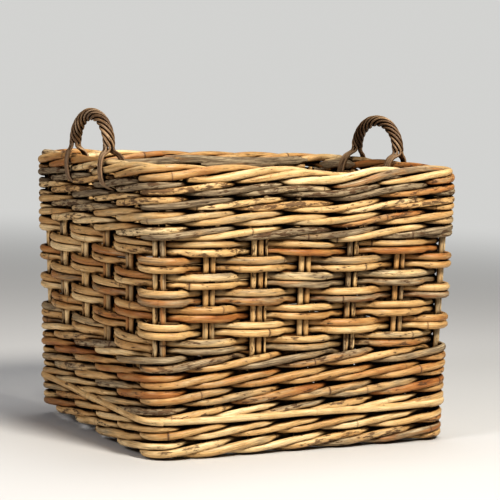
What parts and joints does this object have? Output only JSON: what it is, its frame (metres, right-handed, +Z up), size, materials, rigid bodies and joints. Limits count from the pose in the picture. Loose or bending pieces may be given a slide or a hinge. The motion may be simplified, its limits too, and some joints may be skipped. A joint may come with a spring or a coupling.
{
  "type": "wicker log basket",
  "caption": "Rectangular woven rattan log basket with rounded corners, a flared wall, wale bands, a rolled rim and two twisted ear handles.",
  "frame": {"origin": "on the ground under the middle of the floor", "axes": "+Z up, +X along the long side towards the right handle, +Y towards the back long side"},
  "size_m": [0.5684, 0.441, 0.4982],
  "materials": {
    "pale_cane": "dry unvarnished split and round cane, pale straw",
    "honey_cane": "honey brown rattan with dark node rings and patches of bark, slightly glossy",
    "weathered_cane": "greyish brown weathered rattan, matt",
    "dark_twisted_cane": "dark brown thin canes with a soft sheen"
  },
  "bodies": {
    "basket": {"cross_stake_1_left": "pale_cane", "cross_stake_1_right": "pale_cane", "cross_stake_2_left": "pale_cane", "cross_stake_2_right": "pale_cane", "cross_stake_3_left": "pale_cane", "cross_stake_3_right": "pale_cane", "cross_stake_4_left": "pale_cane", "cross_stake_4_right": "pale_cane", "cross_stake_5_left": "pale_cane", "cross_stake_5_right": "pale_cane", "long_stake_1_front": "pale_cane", "long_stake_1_back": "pale_cane", "long_stake_2_front": "pale_cane", "long_stake_2_back": "pale_cane", "long_stake_3_front": "pale_cane", "long_stake_3_back": "pale_cane", "long_stake_4_front": "pale_cane", "long_stake_4_back": "pale_cane", "corner_stake_front_left_a": "pale_cane", "corner_stake_front_left_b": "pale_cane", "corner_stake_front_right_a": "pale_cane", "corner_stake_front_right_b": "pale_cane", "corner_stake_back_right_a": "pale_cane", "corner_stake_back_right_b": "pale_cane", "corner_stake_back_left_a": "pale_cane", "corner_stake_back_left_b": "pale_cane", "floor_weaver_1": "weathered_cane", "floor_weaver_2": "weathered_cane", "floor_weaver_3": "weathered_cane", "floor_weaver_4": "weathered_cane", "floor_weaver_5": "weathered_cane", "lower_wale_row_1": "honey_cane", "lower_wale_row_2": "honey_cane", "lower_wale_row_3": "honey_cane", "lower_wale_row_4": "honey_cane", "lower_wale_row_5": "honey_cane", "lower_wale_row_6": "honey_cane", "side_weaver_row_1": "honey_cane", "side_weaver_row_2": "honey_cane", "side_weaver_row_3": "honey_cane", "side_weaver_row_4": "honey_cane", "side_weaver_row_5": "honey_cane", "side_weaver_row_6": "honey_cane", "side_weaver_row_7": "honey_cane", "upper_wale_row_1": "weathered_cane", "upper_wale_row_2": "weathered_cane", "upper_wale_row_3": "weathered_cane", "upper_wale_row_4": "weathered_cane", "border_outer": "honey_cane", "border_inner": "weathered_cane", "border_top": "honey_cane"},
    "left_handle": {"left_handle_strand_a": "dark_twisted_cane", "left_handle_strand_b": "dark_twisted_cane", "left_handle_strand_c": "dark_twisted_cane"},
    "right_handle": {"right_handle_strand_a": "dark_twisted_cane", "right_handle_strand_b": "dark_twisted_cane", "right_handle_strand_c": "dark_twisted_cane"}
  },
  "joints": [
    {"name": "left_handle_rock", "type": "hinge", "parent": "basket", "child": "left_handle", "pos_m": [-0.25698, 0, 0.41399], "axis": [0, 1, 0], "range_deg": [-15, 15], "stiffness_Nm_per_rad": 1.5},
    {"name": "right_handle_rock", "type": "hinge", "parent": "basket", "child": "right_handle", "pos_m": [0.25698, 0, 0.41399], "axis": [0, -1, 0], "range_deg": [-15, 15], "stiffness_Nm_per_rad": 1.5}
  ]
}
